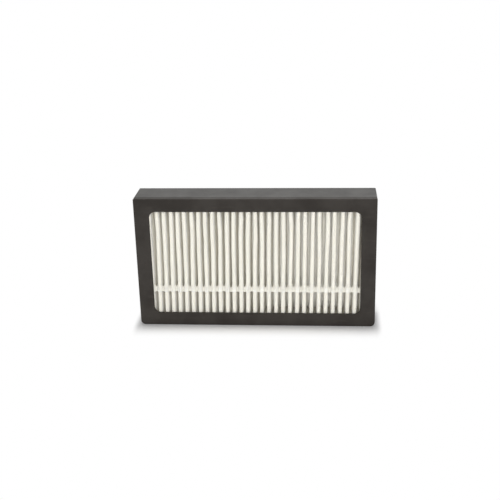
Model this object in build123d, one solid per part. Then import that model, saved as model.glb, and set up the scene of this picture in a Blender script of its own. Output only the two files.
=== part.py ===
from build123d import *
import os
from math import asin, atan2, cos, hypot, pi, sin

# A pleated filter panel that stands on its long lower edge. The origin is at the middle of the
# bottom of the panel. +X runs along the width, +Z is up, and the front face looks along -Y.

# Outer size of the panel
overall_width = 159.0
overall_height = 90.0
overall_depth = 25.0
lower_corner_radius = 3.2
upper_corner_radius = 0.8
outer_edge_round = 0.5

# Moulded walls and the flanges round the two windows
frame_wall = 1.9
flange_thickness = 1.2
upper_cavity_radius = 0.5
side_border = 10.0
upper_border = 9.0
lower_border = 9.0
window_corner_radius = 4.3
window_edge_round = 0.4

# Joint between the front bezel and the tray behind it
bezel_depth = 4.0
skirt_thickness = 0.95
joint_clearance = 0.06
tongue_end_clearance = 0.15
seam_chamfer = 0.25

# Folded filter media
nominal_pleat_pitch = 4.7
media_thickness = 0.5
fold_radius = 1.05
crease_flats = 3
tip_clearance = 0.3

# Potting compound above and below the media
potting_thickness = 2.0

# Hot-melt bead laid across the fold tips on each side of the media
bead_centre_height = 25.9
bead_height = 4.6
bead_depth = 2.8
bead_proud = 0.2
bead_bevel = 0.9
bead_flats = 4

# Sizes that follow from the ones above
front_y = -overall_depth / 2
back_y = overall_depth / 2
cavity_front_y = front_y + flange_thickness
cavity_back_y = back_y - flange_thickness
seam_y = front_y + bezel_depth
cavity_half_width = overall_width / 2 - frame_wall
cavity_floor_z = frame_wall
cavity_roof_z = overall_height - frame_wall
pleat_count = round(2 * cavity_half_width / nominal_pleat_pitch)
pleat_pitch = 2 * cavity_half_width / pleat_count
media_bottom_z = cavity_floor_z + potting_thickness
media_top_z = cavity_roof_z - potting_thickness
near = 0.001

# The folds. Front and rear folds take turns, half a pitch apart, and the legs between them are
# tangent to both, so that the sheet has no corner anywhere.
front_tip_y = cavity_front_y + tip_clearance
rear_tip_y = cavity_back_y - tip_clearance
outer_fold_radius = fold_radius + media_thickness / 2
front_fold_y = front_tip_y + outer_fold_radius
rear_fold_y = rear_tip_y - outer_fold_radius
fold_run = rear_fold_y - front_fold_y
fold_distance = hypot(pleat_pitch / 2, fold_run)
leg_angle = atan2(pleat_pitch / 2, fold_run) - asin(2 * fold_radius / fold_distance)


def panel_outline(inset):
    """The panel seen from the front, drawn in by inset all round, with its base on the X axis."""
    width = overall_width - 2 * inset
    height = overall_height - 2 * inset
    outline = Pos(0, overall_height / 2) * Rectangle(width, height)
    lower_corners = outline.vertices().group_by(Axis.Y)[0]
    outline = fillet(lower_corners, lower_corner_radius - inset)
    upper_corners = outline.vertices().group_by(Axis.Y)[-1]
    return fillet(upper_corners, max(upper_corner_radius - inset, upper_cavity_radius))


def window_outline():
    """The opening through which the pleats show, the same in front and behind."""
    width = overall_width - 2 * side_border
    height = overall_height - upper_border - lower_border
    centre_z = lower_border + height / 2
    return Pos(0, centre_z) * RectangleRounded(width, height, window_corner_radius)


def between(outline, start_y, end_y):
    """A drawing of the front view made solid from start_y to end_y."""
    plane = Plane.XZ.offset(-start_y)
    return extrude(plane * outline, amount=-(end_y - start_y))


def edges_along(solid, level_y, outline):
    """Edges of a solid at the depth level_y that follow an outline of the front view."""
    border = outline.wire()
    on_level = solid.edges().filter_by_position(Axis.Y, level_y - near, level_y + near)
    middles = [(edge, edge @ 0.5) for edge in on_level]
    return [edge for edge, middle in middles
            if border.distance_to(Vertex(middle.X, middle.Z)) < near]


def front_bezel():
    """Window flange with a short skirt that closes over the tongue of the tray."""
    flange = between(panel_outline(0) - window_outline(), front_y, cavity_front_y)
    skirt_ring = panel_outline(0) - panel_outline(skirt_thickness)
    bezel = flange + between(skirt_ring, cavity_front_y, seam_y)
    bezel = fillet(edges_along(bezel, front_y, panel_outline(0)), outer_edge_round)
    bezel = fillet(edges_along(bezel, front_y, window_outline()), window_edge_round)
    return chamfer(edges_along(bezel, seam_y, panel_outline(0)), seam_chamfer)


def rear_tray():
    """Four walls and the rear window flange in one moulding, with a tongue round its front."""
    cavity = panel_outline(frame_wall)
    walls = between(panel_outline(0) - cavity, seam_y, cavity_back_y)
    flange = between(panel_outline(0) - window_outline(), cavity_back_y, back_y)
    tongue_ring = panel_outline(skirt_thickness + joint_clearance) - cavity
    tongue = between(tongue_ring, cavity_front_y + tongue_end_clearance, seam_y)
    tray = walls + flange
    tray = fillet(edges_along(tray, back_y, panel_outline(0)), outer_edge_round)
    tray = fillet(edges_along(tray, back_y, window_outline()), window_edge_round)
    tray = chamfer(edges_along(tray, seam_y, panel_outline(0)), seam_chamfer)
    return tray + tongue


def fold_centre(index):
    """Centre of a fold. Even ones are at the front, and -1 and the last stand in for the walls."""
    x = -cavity_half_width + pleat_pitch / 2 * (index + 1)
    is_front = index % 2 == 0
    return Vector(x, front_fold_y if is_front else rear_fold_y), -1 if is_front else 1


def fold_point(index, radius, turned):
    """A point round a fold, from 0, where the sheet arrives at it, to 1, where it leaves it."""
    centre, facing = fold_centre(index)
    angle = leg_angle + (pi - 2 * leg_angle) * turned
    return centre + Vector(-radius * cos(angle), radius * sin(angle) * facing)


def is_outside(index, surface):
    """Whether a surface of the sheet passes round the outside of a fold. Front is -1."""
    return fold_centre(index)[1] == surface


def surface_radius(index, surface):
    half_sheet = media_thickness / 2
    return fold_radius + (half_sheet if is_outside(index, surface) else -half_sheet)


def fold_edges(index, surface):
    """One surface of the sheet round a fold: an arc outside, crushed to a few flats inside."""
    radius = surface_radius(index, surface)
    if is_outside(index, surface):
        return [Edge.make_three_point_arc(*[fold_point(index, radius, t) for t in (0, 0.5, 1)])]
    points = [fold_point(index, radius, step / crease_flats) for step in range(crease_flats + 1)]
    return [Edge.make_line(a, b) for a, b in zip(points, points[1:])]


def surface_line(surface):
    """One surface of the folded sheet, seen from above, from the left wall to the right one."""
    last = 2 * pleat_count - 1
    edges = []
    here = fold_point(-1, surface_radius(-1, surface), 1)
    for index in range(last):
        fold = fold_edges(index, surface)
        edges += [Edge.make_line(here, fold[0] @ 0), *fold]
        here = fold[-1] @ 1
    end = fold_point(last, surface_radius(last, surface), 0)
    return [*edges, Edge.make_line(here, end)]


def media_face():
    """Section of the folded sheet."""
    front = surface_line(-1)
    rear = surface_line(1)
    left_end = Edge.make_line(front[0] @ 0, rear[0] @ 0)
    right_end = Edge.make_line(front[-1] @ 1, rear[-1] @ 1)
    return Face(Wire([*front, right_end, *rear, left_end]))


def upright(section, low_z, high_z):
    """A section seen from above, made solid from low_z up to high_z."""
    return extrude(Pos(0, 0, low_z) * section, amount=high_z - low_z, dir=(0, 0, 1))


def pleat_pack():
    """The sheet of media, folded into pleats that stand upright between the two windows."""
    return upright(media_face(), media_bottom_z, media_top_z)


def potting_bed(low_z, high_z):
    """Compound that fills the tray from its floor or its roof up to the ends of the pleats."""
    cavity = between(panel_outline(frame_wall), cavity_front_y, cavity_back_y)
    slab_size = (2 * cavity_half_width, cavity_back_y - cavity_front_y, high_z - low_z)
    return cavity & Pos(0, 0, (low_z + high_z) / 2) * Box(*slab_size)


def edge_seal(hand):
    """Adhesive that bonds the last leg of the media to a side wall. The right wall is 1."""
    last_leg = surface_line(-1)[-1]
    wall_end = Vector(cavity_half_width, (last_leg @ 1).Y)
    wall_start = Vector(cavity_half_width, (last_leg @ 0).Y)
    section = Face(Wire.make_polygon([last_leg @ 0, last_leg @ 1, wall_end, wall_start]))
    seal = upright(section, media_bottom_z, media_top_z)
    return seal if hand > 0 else mirror(seal, Plane.YZ)


def bead_limit(facing):
    """Points along one side of the folded sheet, with a few flats that touch each fold tip."""
    turn = (pi - 2 * leg_angle) / bead_flats
    points = []
    for index in range(-1, 2 * pleat_count):
        radius = surface_radius(index, facing)
        if is_outside(index, facing):
            corner_radius = radius / cos(turn / 2)
            shares = [(step + 0.5) / bead_flats for step in range(bead_flats)]
            points += [fold_point(index, corner_radius, share) for share in shares]
        else:
            points += [fold_point(index, radius, 0), fold_point(index, radius, 1)]
    return points[1:-1]


def glue_bead(facing):
    """Bead across the fold tips of one side, pressed a little into the valleys. Front is -1."""
    tip_y = front_tip_y if facing < 0 else rear_tip_y
    first_tip = 0 if facing < 0 else 1
    half_length = abs(fold_centre(first_tip)[0].X)
    middle_y = tip_y + (bead_proud - bead_depth / 2) * facing
    profile = Rectangle(bead_depth, bead_height)
    profile = chamfer(profile.vertices(), bead_bevel)
    bar = extrude(Plane.YZ * profile, amount=half_length, both=True)
    bar = Pos(0, middle_y, bead_centre_height) * bar
    far_y = -facing * overall_depth
    corners = [Vector(cavity_half_width, far_y), Vector(-cavity_half_width, far_y)]
    behind = Face(Wire.make_polygon([*bead_limit(facing), *corners]))
    return bar - upright(behind, bead_centre_height - bead_height, bead_centre_height + bead_height)


def write_parts():
    parts = {
        "front_bezel": front_bezel(),
        "rear_tray": rear_tray(),
        "pleat_pack": pleat_pack(),
        "top_potting": potting_bed(media_top_z, cavity_roof_z),
        "bottom_potting": potting_bed(cavity_floor_z, media_bottom_z),
        "left_edge_seal": edge_seal(-1),
        "right_edge_seal": edge_seal(1),
        "front_glue_bead": glue_bead(-1),
        "rear_glue_bead": glue_bead(1),
    }
    os.makedirs("parts", exist_ok=True)
    for name, shape in parts.items():
        export_step(shape, f"parts/{name}.step")


write_parts()
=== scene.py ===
from math import acos, atan2, cos, pi, radians, sin

import bpy
from mathutils import Matrix, Vector, noise


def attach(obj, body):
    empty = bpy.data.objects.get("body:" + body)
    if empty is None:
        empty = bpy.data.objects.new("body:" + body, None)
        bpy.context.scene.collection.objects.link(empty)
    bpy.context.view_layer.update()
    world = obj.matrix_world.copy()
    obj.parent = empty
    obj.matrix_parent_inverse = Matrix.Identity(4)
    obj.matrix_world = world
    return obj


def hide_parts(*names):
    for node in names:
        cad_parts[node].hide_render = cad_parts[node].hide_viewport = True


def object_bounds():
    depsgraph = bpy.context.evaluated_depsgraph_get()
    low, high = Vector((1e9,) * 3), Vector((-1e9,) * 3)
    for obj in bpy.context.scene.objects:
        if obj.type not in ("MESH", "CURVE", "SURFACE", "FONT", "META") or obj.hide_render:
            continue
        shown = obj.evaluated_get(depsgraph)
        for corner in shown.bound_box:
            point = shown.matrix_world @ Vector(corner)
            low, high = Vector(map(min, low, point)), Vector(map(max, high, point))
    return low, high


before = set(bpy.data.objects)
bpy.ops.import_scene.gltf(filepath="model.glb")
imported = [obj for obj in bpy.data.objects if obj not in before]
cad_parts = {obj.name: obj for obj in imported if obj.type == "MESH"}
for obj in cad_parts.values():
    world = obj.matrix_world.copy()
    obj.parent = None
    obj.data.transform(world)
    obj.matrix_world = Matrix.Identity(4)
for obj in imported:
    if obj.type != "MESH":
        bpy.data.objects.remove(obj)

# A pleated filter panel that stands on its long lower edge. The panel's lengths are in
# millimetres and become metres where a mesh is made. The front looks along -Y, and +Z is up.
MM = 0.001
CAD_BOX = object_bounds()

# Folded media, as in the solids
CAVITY_HALF_WIDTH = 77.6
PLEAT_COUNT = 33
HALF_PITCH = CAVITY_HALF_WIDTH / PLEAT_COUNT
SHEET_THICKNESS = 0.5
FOLD_RADIUS = 1.05
TIP_Y = 11.0
FOLD_Y = TIP_Y - FOLD_RADIUS - SHEET_THICKNESS / 2
MEDIA_BOTTOM = 3.9
MEDIA_TOP = 86.1
LAST_FOLD = 2 * PLEAT_COUNT - 1

# How the real sheet departs from straight, even folds. Towards both ends the folds sit further
# right, they lean to the right as they rise, and each one strays a little by itself. The shift
# and the lean fade out at the side walls.
END_SHIFT = 1.2
END_SHIFT_AT = 66.0
LEAN = 0.0182
LEAN_PIVOT_HEIGHT = 74.5
WALL_FADE = (65.0, 76.5)
WANDER_ABOVE_BEAD = 0.90
WANDER_BELOW_BEAD = 0.20
FREE_HEIGHT = MEDIA_TOP - 10
QUICK_SHARE = 0.25
TIP_DEPTH_SPREAD = 0.12
FOLD_RADIUS_SPREAD = 0.07
LEG_WAVE = 0.08

# Where these are read from the noise: the step from one fold to the next, the step for each
# millimetre of height, and a layer, or for the legs the step from one end to the other
SLOW_FIELD = (5.31, 0.024, 11.2)
QUICK_FIELD = (3.17, 0.08, 29.4)
RADIUS_FIELD = (2.3, 0.05, 51.3)
TIP_FIELD = (1.9, 0.04, 71.9)
LEG_FIELD = (4.7, 0.09, 3.0)

# Fineness of the sheet's mesh
SHEET_ROWS = 44
FOLD_STEPS = 9
LEG_STEPS = 3

# Hot-melt bead across the fold tips. It bites a little into the sheet, its face is hollow
# between two folds and leans back as it rises, and its upper edge climbs up the folds' flanks
# and dips elsewhere.
BEAD_Z = 25.9
BEAD_HALF_HEIGHT = 2.3
BEAD_DEPTH = 2.8
BEAD_PROUD = 0.2
BEAD_BITE = 0.12
BEAD_HOLLOW = 1.1
BEAD_LEAN = 2.4
BEAD_DIP = 1.5
BEAD_CLIMB = 4.0
BEAD_SQUARENESS = 0.6
BEAD_THINNEST_SHARE = 0.3

# Unevenness of the bead's edges, and how much of BEAD_PROUD its face keeps and how much of it
# comes and goes
UPPER_LUMP = 0.9
LOWER_SWAY = 0.5
FINE_LUMP = 0.3
PROUD_SHARE = 0.6
PROUD_LUMP = 0.8

# Where that is read from the noise: the step for each millimetre along the bead, a layer, and
# for both beads the step that sets them apart
LUMP_FIELD = (0.55, 1.3)
FINE_FIELD = (1.7, 8.1)
SWAY_FIELD = (0.21, 5.9)
BEAD_SIDE_STEP = 4.0

# Fineness of the bead's mesh
BEAD_LOOP = 16
TIP_STATIONS = 9
VALLEY_STATIONS = 9

# Camera, from the panel's corners in the photograph, with its place in metres
CAMERA_PLACE = (0.04484, -0.5803, 0.2689)
CAMERA_YAW = radians(-4.85)
CAMERA_PITCH = radians(20.59)
CAMERA_ROLL = radians(-1.50)
CAMERA_LENS = 66.45
SENSOR_WIDTH = 36.0

# Light, in metres. A lamp's level is the brightness of a white card that faces it where the
# panel stands, and AMBIENT is what the surroundings add.
AMBIENT = 0.40
OVERHEAD = {"place": (0.0, 0.085, 1.0), "size": (0.30, 0.17), "level": 0.62}
FRONT = {"place": (0.04, -1.10, 0.45), "size": (0.50, 0.50), "level": 0.585}
PANEL_MIDDLE = Vector((0.0, 0.0, 0.045))

# Colours, the darker one first
BEZEL_COLOURS = ((0.020, 0.0165, 0.0135), (0.032, 0.0275, 0.0235))
TRAY_COLOURS = ((0.027, 0.0255, 0.0225), (0.039, 0.037, 0.033))
POTTING_COLOURS = ((0.58, 0.565, 0.51), (0.68, 0.665, 0.61))
MEDIA_COLOURS = ((0.93, 0.917, 0.877), (0.955, 0.944, 0.907))
GLUE_THIN_COLOURS = ((0.83, 0.81, 0.74), (0.90, 0.885, 0.82))
# Painted shade: the darker glue colours stand for the shade deep between the folds
GLUE_SHADED_COLOURS = ((0.67, 0.655, 0.595), (0.75, 0.735, 0.67))

# Colour of the media where it has few fibres, and what multiplies it on the outside of the folds
FEW_FIBRES_COLOUR = (0.90, 0.884, 0.837)
TIP_TINT = (1.0, 0.950, 0.858)

# Where the tint of a fold's outside begins and where it is full. At 1 the tip faces straight out.
OUTSIDE_SHARES = (0.2, 0.7)

# How far behind the fold tips the glue has its darker colour of painted shade in full, and where it
# has its own colour
GLUE_SHADE_DEPTHS = (2.2, 0.5)

# The range that most values of a noise lie in
NOISE_RANGE = (0.3, 0.7)

# Rubbed streaks on the plastic, smoother and with a painted highlight: how bright the painted
# highlight is against its lighter colour, how much of that shows, and how much smoother they are
STREAK_HIGHLIGHT_GAIN = 1.35
STREAK_HIGHLIGHT_SHARE = 0.5
RUBBED_SMOOTHNESS = 0.08

# How far light travels inside the media, in metres, and how often it may pass between the folds
MEDIA_SCATTER = 0.0010
DIFFUSE_BOUNCES = 12

# Floor, in metres. Its shadow fades out from SHADOW_START to SHADOW_END in front of the panel and
# behind it, and over END_SHADOW_SHARE of that distance at its ends.
FLOOR_HALF_WIDTH = 6.0
FLOOR_COLOUR = 0.74
SHADOW_START = 0.002
SHADOW_END = 0.022
END_SHADOW_SHARE = 0.26

# Sockets of the mix node when it mixes colours
MIX_SHARE = 0
MIX_COLOURS = (6, 7)
MIX_RESULT = 2


# Helpers for node materials
def new_material(name):
    material = bpy.data.materials.new(name)
    material.use_nodes = True
    nodes = material.node_tree.nodes
    shader = nodes["Principled BSDF"]
    return material, nodes, material.node_tree.links, shader


def object_coordinates(nodes, links, stretch=(1.0, 1.0, 1.0), turn=(0.0, 0.0, 0.0)):
    """The object's own coordinates, stretched along its axes and turned."""
    coordinates = nodes.new("ShaderNodeTexCoord")
    mapping = nodes.new("ShaderNodeMapping")
    mapping.inputs["Scale"].default_value = stretch
    mapping.inputs["Rotation"].default_value = turn
    links.new(coordinates.outputs["Object"], mapping.inputs["Vector"])
    return mapping.outputs["Vector"]


def noise_value(nodes, links, vector, size_mm, detail=3.0, roughness=0.5, distortion=0.0):
    """Noise whose features are about size_mm across."""
    texture = nodes.new("ShaderNodeTexNoise")
    texture.inputs["Scale"].default_value = 1.0 / (size_mm * MM)
    texture.inputs["Detail"].default_value = detail
    texture.inputs["Roughness"].default_value = roughness
    texture.inputs["Distortion"].default_value = distortion
    links.new(vector, texture.inputs["Vector"])
    return texture.outputs["Fac"]


def ramp(nodes, links, value, low, high, from_value, to_value):
    """A value carried from the range low..high to from_value..to_value, and held outside it."""
    node = nodes.new("ShaderNodeMapRange")
    node.interpolation_type = "SMOOTHSTEP"
    node.inputs["From Min"].default_value = low
    node.inputs["From Max"].default_value = high
    node.inputs["To Min"].default_value = from_value
    node.inputs["To Max"].default_value = to_value
    links.new(value, node.inputs["Value"])
    return node.outputs["Result"]


def spread(nodes, links, noise_output, from_value=0.0, to_value=1.0):
    """Noise carried from the range of most of its values to from_value..to_value."""
    return ramp(nodes, links, noise_output, *NOISE_RANGE, from_value, to_value)


def mix_colours(nodes, links, share, first, second):
    node = nodes.new("ShaderNodeMix")
    node.data_type = "RGBA"
    links.new(share, node.inputs[MIX_SHARE])
    for socket, colour in zip(MIX_COLOURS, (first, second)):
        if isinstance(colour, tuple):
            node.inputs[socket].default_value = (*colour, 1.0)
        else:
            links.new(colour, node.inputs[socket])
    return node.outputs[MIX_RESULT]


def arithmetic(nodes, links, operation, *values):
    node = nodes.new("ShaderNodeMath")
    node.operation = operation
    for socket, value in zip(node.inputs, values):
        if isinstance(value, (int, float)):
            socket.default_value = value
        else:
            links.new(value, socket)
    return node.outputs["Value"]


def bump(nodes, links, height, depth_mm, strength=1.0, under=None):
    """Bump whose height of 1 stands for depth_mm."""
    node = nodes.new("ShaderNodeBump")
    node.inputs["Strength"].default_value = strength
    node.inputs["Distance"].default_value = depth_mm * MM
    links.new(height, node.inputs["Height"])
    if under is not None:
        links.new(under, node.inputs["Normal"])
    return node.outputs["Normal"]


# Materials
def moulded_plastic(name, colours, roughness, specular):
    """Charcoal moulding with a fine spark-eroded texture, faint clouding and rubbed streaks, which
    are smoother and carry a painted highlight.
    """
    material, nodes, links, shader = new_material(name)
    plain = object_coordinates(nodes, links)
    clouds = noise_value(nodes, links, plain, size_mm=16.0, detail=5.0, roughness=0.6)
    grain = noise_value(nodes, links, plain, size_mm=0.35, detail=2.0)
    along = object_coordinates(nodes, links, stretch=(0.06, 1.0, 0.35))
    streaks = noise_value(nodes, links, along, size_mm=1.1, detail=4.0, roughness=0.65)
    rubbed_and_highlit = ramp(nodes, links, streaks, 0.58, 0.74, 0.0, 1.0)
    colour = mix_colours(nodes, links, spread(nodes, links, clouds), *colours)
    # Painted highlight: the streaks are lighter than the plastic around them
    streak_highlight = tuple(STREAK_HIGHLIGHT_GAIN * part for part in colours[1])
    shown = arithmetic(nodes, links, "MULTIPLY", rubbed_and_highlit, STREAK_HIGHLIGHT_SHARE)
    colour = mix_colours(nodes, links, shown, colour, streak_highlight)
    links.new(colour, shader.inputs["Base Color"])
    uneven = ramp(nodes, links, clouds, 0.25, 0.75, roughness + 0.05, roughness - 0.05)
    smoother = arithmetic(nodes, links, "MULTIPLY", rubbed_and_highlit, RUBBED_SMOOTHNESS)
    links.new(arithmetic(nodes, links, "SUBTRACT", uneven, smoother), shader.inputs["Roughness"])
    shader.inputs["Specular IOR Level"].default_value = specular
    sink = bump(nodes, links, clouds, depth_mm=0.12, strength=0.35)
    relief = bump(nodes, links, grain, depth_mm=0.03, strength=0.5, under=sink)
    links.new(relief, shader.inputs["Normal"])
    return material


def near_tips(nodes, links, deep, shallow):
    """0 at deep millimetres behind the fold tips or more, 1 at shallow millimetres or less."""
    axes = nodes.new("ShaderNodeSeparateXYZ")
    links.new(object_coordinates(nodes, links), axes.inputs["Vector"])
    depth = arithmetic(nodes, links, "ABSOLUTE", axes.outputs["Y"])
    return ramp(nodes, links, depth, (TIP_Y - deep) * MM, (TIP_Y - shallow) * MM, 0.0, 1.0)


def outside_of_folds(nodes, links):
    """1 where the sheet faces out of the pack at a fold tip, 0 on its legs and inside its folds."""
    coordinates = nodes.new("ShaderNodeTexCoord")
    factors = []
    for output in ("Object", "Normal"):
        axes = nodes.new("ShaderNodeSeparateXYZ")
        links.new(coordinates.outputs[output], axes.inputs["Vector"])
        factors.append(axes.outputs["Y"])
    outward = arithmetic(nodes, links, "MULTIPLY", *factors)
    begins, full = [share * TIP_Y * MM for share in OUTSIDE_SHARES]
    return ramp(nodes, links, outward, begins, full, 0.0, 1.0)


def yellowed(nodes, links, colour):
    """A colour with the faint yellow of the outside of the folds."""
    node = nodes.new("ShaderNodeMix")
    node.data_type = "RGBA"
    node.blend_type = "MULTIPLY"
    node.inputs[MIX_SHARE].default_value = 1.0
    links.new(colour, node.inputs[MIX_COLOURS[0]])
    node.inputs[MIX_COLOURS[1]].default_value = (*TIP_TINT, 1.0)
    return node.outputs[MIX_RESULT]


def fibre_media():
    """Matte fibre sheet: crossed fine fibres, soft clouding where it is denser, small cockles."""
    material, nodes, links, shader = new_material("filter_media")
    upright = object_coordinates(nodes, links, stretch=(1.0, 1.0, 0.22), turn=(0.0, 0.25, 0.0))
    lying = object_coordinates(nodes, links, stretch=(1.0, 1.0, 0.3), turn=(0.4, -0.7, 0.0))
    plain = object_coordinates(nodes, links)
    first = noise_value(nodes, links, upright, size_mm=0.22, roughness=0.6, distortion=0.4)
    second = noise_value(nodes, links, lying, size_mm=0.18, roughness=0.6, distortion=0.4)
    fibres = arithmetic(nodes, links, "MULTIPLY", first, second)
    density = noise_value(nodes, links, plain, size_mm=2.6, detail=4.0, roughness=0.6)
    drawn = object_coordinates(nodes, links, stretch=(1.0, 1.0, 0.4))
    cockle = noise_value(nodes, links, drawn, size_mm=2.2, detail=2.0)
    colour = mix_colours(nodes, links, spread(nodes, links, density), *MEDIA_COLOURS)
    covered = ramp(nodes, links, fibres, 0.10, 0.36, 0.0, 1.0)
    colour = mix_colours(nodes, links, covered, FEW_FIBRES_COLOUR, colour)
    outside = outside_of_folds(nodes, links)
    colour = mix_colours(nodes, links, outside, colour, yellowed(nodes, links, colour))
    links.new(colour, shader.inputs["Base Color"])
    shader.inputs["Roughness"].default_value = 0.92
    shader.inputs["Subsurface Weight"].default_value = 1.0
    shader.inputs["Subsurface Radius"].default_value = (1.0, 1.0, 1.0)
    shader.inputs["Subsurface Scale"].default_value = MEDIA_SCATTER
    shader.inputs["Specular IOR Level"].default_value = 0.25
    cockles = bump(nodes, links, cockle, depth_mm=0.16, strength=0.5)
    relief = bump(nodes, links, fibres, depth_mm=0.10, strength=0.5, under=cockles)
    links.new(relief, shader.inputs["Normal"])
    return material


def hot_melt():
    """Off-white adhesive with a soft gloss, stringy along the bead, and darkened by painted shade
    deep between the folds.
    """
    material, nodes, links, shader = new_material("hot_melt")
    strung = object_coordinates(nodes, links, stretch=(0.35, 1.0, 1.0))
    lumps = noise_value(nodes, links, strung, size_mm=1.1, detail=3.0)
    plain = object_coordinates(nodes, links)
    specks = noise_value(nodes, links, plain, size_mm=0.3, detail=2.0)
    share = spread(nodes, links, lumps)
    thin = mix_colours(nodes, links, share, *GLUE_THIN_COLOURS)
    # Painted shade: the glue darkens deep between the folds
    painted_shade = mix_colours(nodes, links, share, *GLUE_SHADED_COLOURS)
    colour = mix_colours(nodes, links, near_tips(nodes, links, *GLUE_SHADE_DEPTHS), painted_shade, thin)
    links.new(colour, shader.inputs["Base Color"])
    links.new(spread(nodes, links, specks, 0.34, 0.5), shader.inputs["Roughness"])
    shader.inputs["Specular IOR Level"].default_value = 0.4
    links.new(bump(nodes, links, lumps, depth_mm=0.25, strength=0.5), shader.inputs["Normal"])
    return material


def potting_compound():
    """Cast compound: satin, slightly uneven, with small burst bubbles."""
    material, nodes, links, shader = new_material("potting")
    plain = object_coordinates(nodes, links)
    swell = noise_value(nodes, links, plain, size_mm=7.0, detail=3.0)
    bubbles = nodes.new("ShaderNodeTexVoronoi")
    bubbles.inputs["Scale"].default_value = 1.0 / (2.4 * MM)
    links.new(plain, bubbles.inputs["Vector"])
    pits = ramp(nodes, links, bubbles.outputs["Distance"], 0.06, 0.2, 0.0, 1.0)
    colour = mix_colours(nodes, links, spread(nodes, links, swell), *POTTING_COLOURS)
    links.new(colour, shader.inputs["Base Color"])
    links.new(spread(nodes, links, swell, 0.38, 0.5), shader.inputs["Roughness"])
    swells = bump(nodes, links, swell, depth_mm=0.5, strength=0.5)
    relief = bump(nodes, links, pits, depth_mm=0.15, strength=0.6, under=swells)
    links.new(relief, shader.inputs["Normal"])
    return material


# Shape of the folded sheet
def drift(*where):
    """Smooth repeatable noise, mostly between -0.5 and 0.5."""
    return noise.noise(Vector(where))


def smooth_step(low, high, value):
    share = min(max((value - low) / (high - low), 0.0), 1.0)
    return share * share * (3.0 - 2.0 * share)


def fold_drift(index, z, field):
    """Noise that is a fold's own and changes with height."""
    fold_step, height_step, layer = field
    return drift(index * fold_step, z * height_step, layer)


def wander_at(z):
    """How far a fold may stray sideways at a height: little up to the bead, more above it."""
    freed = smooth_step(BEAD_Z, FREE_HEIGHT, z)
    return WANDER_BELOW_BEAD + (WANDER_ABOVE_BEAD - WANDER_BELOW_BEAD) * freed


def fold_at(index, z):
    """Centre and radius of a fold at a height. Even folds are in front; the ends are fixed."""
    facing = -1 if index % 2 == 0 else 1
    x = -CAVITY_HALF_WIDTH + HALF_PITCH * (index + 1)
    if index in (-1, LAST_FOLD):
        return Vector((x, FOLD_Y * facing)), FOLD_RADIUS
    slow = fold_drift(index, z, SLOW_FIELD)
    quick = fold_drift(index, z, QUICK_FIELD) * QUICK_SHARE
    shift = END_SHIFT * (x / END_SHIFT_AT) ** 2 + LEAN * (z - LEAN_PIVOT_HEIGHT)
    x += shift * smooth_step(WALL_FADE[1], WALL_FADE[0], abs(x)) + (slow + quick) * wander_at(z)
    radius = FOLD_RADIUS * (1.0 + 2.0 * FOLD_RADIUS_SPREAD * fold_drift(index, z, RADIUS_FIELD))
    tip = TIP_Y + 2.0 * TIP_DEPTH_SPREAD * (fold_drift(index, z, TIP_FIELD) - 0.5)
    return Vector((x, (tip - radius - SHEET_THICKNESS / 2) * facing)), radius


def leg_normal(start, start_radius, end, end_radius):
    """Direction square to the straight leg between two folds, on its right (+X) side."""
    run = end - start
    swing = acos((start_radius + end_radius) / run.length)
    heading = atan2(run.y, run.x)
    angle = heading - swing if run.y > 0 else heading + swing
    return Vector((cos(angle), sin(angle)))


def sheet_row(z):
    """Middle line of the sheet at a height, as points with the direction of its front side."""
    folds = [fold_at(index, z) for index in range(-1, LAST_FOLD + 1)]
    pairs = zip(folds, folds[1:])
    normals = [leg_normal(a, a_radius, b, b_radius) for (a, a_radius), (b, b_radius) in pairs]
    leg_step, height_step, length_step = LEG_FIELD
    row = []
    for number, normal in enumerate(normals):
        (start, start_radius), (end, end_radius) = folds[number], folds[number + 1]
        front_side = normal if end.y > start.y else -normal
        from_point = start + start_radius * normal
        to_point = end - end_radius * normal
        for step in range(1 if number else 0, LEG_STEPS):
            share = step / LEG_STEPS
            wave = drift(number * leg_step, z * height_step, share * length_step)
            wave = LEG_WAVE * 2.0 * wave * sin(pi * share)
            row.append((from_point.lerp(to_point, share) + wave * normal, front_side))
        if number + 1 < len(normals):
            row += fold_arc(end, end_radius, normal, normals[number + 1])
        else:
            row.append((to_point, front_side))
    return row


def fold_arc(centre, radius, arriving, leaving):
    """Points round a fold, from the leg that arrives at it to the one that leaves it."""
    outward = -1.0 if centre.y < 0 else 1.0
    start = atan2(-arriving.y, -arriving.x) % (2 * pi)
    end = atan2(leaving.y, leaving.x)
    if outward < 0:
        sweep = (end - start) % (2 * pi)
    else:
        sweep = -((start - end) % (2 * pi))
    arc = []
    for step in range(FOLD_STEPS + 1):
        angle = start + sweep * step / FOLD_STEPS
        spoke = Vector((cos(angle), sin(angle)))
        arc.append((centre + radius * spoke, spoke * -outward))
    return arc


def mesh_object(name, points, faces, material):
    """A smooth-shaded object from points in millimetres."""
    mesh = bpy.data.meshes.new(name)
    mesh.from_pydata([(x * MM, y * MM, z * MM) for x, y, z in points], [], faces)
    mesh.polygons.foreach_set("use_smooth", [True] * len(mesh.polygons))
    mesh.materials.append(material)
    mesh.validate()
    piece = bpy.data.objects.new(name, mesh)
    bpy.context.scene.collection.objects.link(piece)
    return piece


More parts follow.
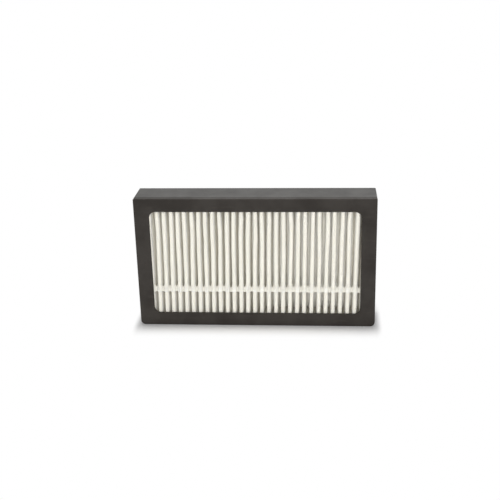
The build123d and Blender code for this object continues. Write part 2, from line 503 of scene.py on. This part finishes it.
def add_pleats(material):
    """The sheet: a front and a rear skin over the same middle line, joined round their rims."""
    heights = [MEDIA_BOTTOM + (MEDIA_TOP - MEDIA_BOTTOM) * row / (SHEET_ROWS - 1)
               for row in range(SHEET_ROWS)]
    points = []
    for skin in (1.0, -1.0):
        for z in heights:
            for middle, front_side in sheet_row(z):
                place = middle + front_side * skin * SHEET_THICKNESS / 2
                points.append((place.x, place.y, z))
    columns = len(points) // (2 * SHEET_ROWS)
    rear = SHEET_ROWS * columns
    faces = []
    for row in range(SHEET_ROWS - 1):
        for column in range(columns - 1):
            corner = row * columns + column
            quad = (corner, corner + 1, corner + columns + 1, corner + columns)
            faces.append(quad)
            faces.append(tuple(rear + place for place in reversed(quad)))
    for column in range(columns - 1):
        top = (SHEET_ROWS - 1) * columns + column
        faces.append((column + 1, column, rear + column, rear + column + 1))
        faces.append((top, top + 1, rear + top + 1, rear + top))
    for row in range(SHEET_ROWS - 1):
        left = row * columns
        right = left + columns - 1
        faces.append((left, left + columns, rear + left + columns, rear + left))
        faces.append((right + columns, right, rear + right, rear + right + columns))
    piece = mesh_object("pleated_media", points, faces, material)
    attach(piece, "root")
    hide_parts("pleat_pack")


# Shape of the hot-melt beads
def bead_drift(x, facing, field):
    """Noise along a bead, different for the two beads."""
    step, layer = field
    return drift(x * step, layer, facing * BEAD_SIDE_STEP)


def bead_stations(facing):
    """Places along a bead: its x, the back of it there, how near to a fold's flank and how far
    into a valley it is, and the folds that it follows as they lean, with a share between them."""
    first = 0 if facing < 0 else 1
    indices = range(first, LAST_FOLD, 2)
    stations = []
    for index in indices:
        centre, radius = fold_at(index, BEAD_Z)
        outer = radius + SHEET_THICKNESS / 2
        for step in range(TIP_STATIONS):
            angle = -pi / 2 + pi * step / (TIP_STATIONS - 1)
            x = centre.x + (outer - BEAD_BITE) * sin(angle)
            back = abs(centre.y) + outer * cos(angle) - BEAD_BITE
            stations.append((x, back, sin(angle) ** 2, 0.0, (index, index, 0.0)))
        if index + 2 in indices:
            next_centre, next_radius = fold_at(index + 2, BEAD_Z)
            left = centre.x + outer - BEAD_BITE
            right = next_centre.x - next_radius - SHEET_THICKNESS / 2 + BEAD_BITE
            for step in range(VALLEY_STATIONS):
                share = step / (VALLEY_STATIONS - 1)
                flank = (2.0 * share - 1.0) ** 2
                stations.append((left + (right - left) * share, TIP_Y + BEAD_PROUD - BEAD_DEPTH,
                                 flank, 1.0 - flank, (index, index + 2, share)))
    return stations


def leaning(folds, z):
    """How far the folds beside a place on the bead have moved sideways at a height."""
    left, right, share = folds
    moves = [fold_at(index, z)[0].x - fold_at(index, BEAD_Z)[0].x for index in (left, right)]
    return moves[0] + (moves[1] - moves[0]) * share


def bead_section(x, back, flank, valley, folds, facing):
    """Closed loop round the bead at one place along it."""
    lump = bead_drift(x, facing, LUMP_FIELD)
    fine = FINE_LUMP * bead_drift(x, facing, FINE_FIELD)
    lower = BEAD_Z - BEAD_HALF_HEIGHT + LOWER_SWAY * bead_drift(x, facing, SWAY_FIELD) + fine
    upper = BEAD_Z + BEAD_HALF_HEIGHT + UPPER_LUMP * lump + fine - BEAD_DIP + BEAD_CLIMB * flank
    front = TIP_Y + BEAD_PROUD * (PROUD_SHARE + PROUD_LUMP * lump) - BEAD_HOLLOW * valley
    thinnest = back + BEAD_THINNEST_SHARE * (front - back)
    loop = []
    for step in range(BEAD_LOOP):
        angle = 2 * pi * step / BEAD_LOOP
        share_y = 0.5 + 0.5 * rounded(cos(angle), BEAD_SQUARENESS)
        share_z = 0.5 + 0.5 * rounded(sin(angle), BEAD_SQUARENESS)
        face = max(front - BEAD_LEAN * share_z, thinnest)
        z = lower + (upper - lower) * share_z
        loop.append((x + leaning(folds, z), (back + (face - back) * share_y) * facing, z))
    return loop


def rounded(value, power):
    """A sine or cosine drawn out towards a square."""
    return abs(value) ** power * (1 if value > 0 else -1)


def add_bead(name, facing, material):
    """A bead across the fold tips of one side, thin over the tips and thicker between them."""
    sections = [bead_section(*station, facing) for station in bead_stations(facing)]
    points = [point for section in sections for point in section]
    faces = []
    for number in range(len(sections) - 1):
        for step in range(BEAD_LOOP):
            after = (step + 1) % BEAD_LOOP
            near, far = number * BEAD_LOOP, (number + 1) * BEAD_LOOP
            quad = (near + step, near + after, far + after, far + step)
            faces.append(quad if facing > 0 else tuple(reversed(quad)))
    first = tuple(range(BEAD_LOOP))
    last = tuple(len(points) - BEAD_LOOP + step for step in reversed(range(BEAD_LOOP)))
    faces += [first, last] if facing < 0 else [first[::-1], last[::-1]]
    piece = mesh_object(name, points, faces, material)
    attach(piece, "root")
    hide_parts("front_glue_bead" if facing < 0 else "rear_glue_bead")


# Surroundings
def seen_directly(nodes, links):
    """1 for what the camera, a reflection or clear material sees, 0 for the light on things."""
    path = nodes.new("ShaderNodeLightPath")
    seen = arithmetic(nodes, links, "MAXIMUM", path.outputs["Is Camera Ray"],
                      path.outputs["Is Glossy Ray"])
    return arithmetic(nodes, links, "MAXIMUM", seen, path.outputs["Is Transmission Ray"])


def beyond(nodes, links, value, half_size):
    """How far a coordinate lies outside the panel's footprint."""
    outside = arithmetic(nodes, links, "SUBTRACT", arithmetic(nodes, links, "ABSOLUTE", value),
                         half_size)
    return arithmetic(nodes, links, "MAXIMUM", outside, 0.0)


def floor_material():
    """White floor that keeps the panel's contact shadow and goes to plain white beyond it."""
    material, nodes, links, shader = new_material("floor")
    nodes.remove(shader)
    output = nodes["Material Output"]
    place = nodes.new("ShaderNodeNewGeometry")
    axes = nodes.new("ShaderNodeSeparateXYZ")
    links.new(place.outputs["Position"], axes.inputs["Vector"])
    low, high = CAD_BOX
    away_x = beyond(nodes, links, axes.outputs["X"], (high.x - low.x) / 2)
    away_x = arithmetic(nodes, links, "DIVIDE", away_x, END_SHADOW_SHARE)
    away_y = beyond(nodes, links, axes.outputs["Y"], (high.y - low.y) / 2)
    squares = [arithmetic(nodes, links, "MULTIPLY", away, away) for away in (away_x, away_y)]
    away = arithmetic(nodes, links, "SQRT", arithmetic(nodes, links, "ADD", *squares))
    clear = ramp(nodes, links, away, SHADOW_START, SHADOW_END, 0.0, 1.0)
    diffuse = nodes.new("ShaderNodeBsdfDiffuse")
    diffuse.inputs["Color"].default_value = (FLOOR_COLOUR, FLOOR_COLOUR, FLOOR_COLOUR, 1.0)
    white = nodes.new("ShaderNodeEmission")
    mix = nodes.new("ShaderNodeMixShader")
    share = arithmetic(nodes, links, "MULTIPLY", clear, seen_directly(nodes, links))
    links.new(share, mix.inputs["Fac"])
    links.new(diffuse.outputs["BSDF"], mix.inputs[1])
    links.new(white.outputs["Emission"], mix.inputs[2])
    links.new(mix.outputs["Shader"], output.inputs["Surface"])
    return material


def add_floor():
    half = FLOOR_HALF_WIDTH / MM
    corners = [(-half, -half, 0), (half, -half, 0), (half, half, 0), (-half, half, 0)]
    mesh_object("floor", corners, [(0, 1, 2, 3)], floor_material())


def add_world():
    """Even white surroundings, plain white where they are seen and dimmer as light."""
    world = bpy.data.worlds.new("studio")
    world.use_nodes = True
    nodes, links = world.node_tree.nodes, world.node_tree.links
    background = nodes["Background"]
    background.inputs["Color"].default_value = (1.0, 1.0, 1.0, 1.0)
    extra = arithmetic(nodes, links, "MULTIPLY", seen_directly(nodes, links), 1.0 - AMBIENT)
    links.new(arithmetic(nodes, links, "ADD", extra, AMBIENT), background.inputs["Strength"])
    bpy.context.scene.world = world


def add_lamp(name, place, size, level):
    """A soft box that points at the panel."""
    lamp = bpy.data.lights.new(name, "AREA")
    lamp.shape = "RECTANGLE"
    lamp.size, lamp.size_y = size
    aim = PANEL_MIDDLE - Vector(place)
    lamp.energy = level * pi * pi * aim.length_squared
    holder = bpy.data.objects.new(name, lamp)
    holder.location = place
    holder.rotation_euler = aim.to_track_quat("-Z", "Y").to_euler()
    bpy.context.scene.collection.objects.link(holder)
    return holder


def add_camera():
    """Camera at the photograph's viewing angle."""
    camera = bpy.data.cameras.new("camera")
    camera.lens = CAMERA_LENS
    camera.sensor_width = SENSOR_WIDTH
    holder = bpy.data.objects.new("camera", camera)
    forward = Vector((sin(CAMERA_YAW) * cos(CAMERA_PITCH), cos(CAMERA_YAW) * cos(CAMERA_PITCH),
                      -sin(CAMERA_PITCH)))
    level = Vector((cos(CAMERA_YAW), -sin(CAMERA_YAW), 0.0))
    upward = level.cross(forward)
    right = cos(CAMERA_ROLL) * level + sin(CAMERA_ROLL) * upward
    top = cos(CAMERA_ROLL) * upward - sin(CAMERA_ROLL) * level
    turn = Matrix((right, top, -forward)).transposed().to_4x4()
    holder.matrix_world = Matrix.Translation(CAMERA_PLACE) @ turn
    bpy.context.scene.collection.objects.link(holder)
    bpy.context.scene.camera = holder


def dress(node, material):
    """Give a solid its material."""
    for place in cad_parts[node].material_slots:
        place.material = material


dress("front_bezel", moulded_plastic("bezel_plastic", BEZEL_COLOURS, roughness=0.62, specular=0.33))
dress("rear_tray", moulded_plastic("tray_plastic", TRAY_COLOURS, roughness=0.5, specular=0.45))
compound = potting_compound()
for node in ("top_potting", "bottom_potting", "left_edge_seal", "right_edge_seal"):
    dress(node, compound)
add_pleats(fibre_media())
glue = hot_melt()
add_bead("front_bead", -1, glue)
add_bead("rear_bead", 1, glue)
add_floor()
add_world()
add_lamp("overhead", **OVERHEAD)
fill = add_lamp("front_fill", **FRONT)
fill.visible_glossy = False
add_camera()
bpy.context.scene.view_settings.view_transform = "Standard"
bpy.context.scene.cycles.diffuse_bounces = DIFFUSE_BOUNCES
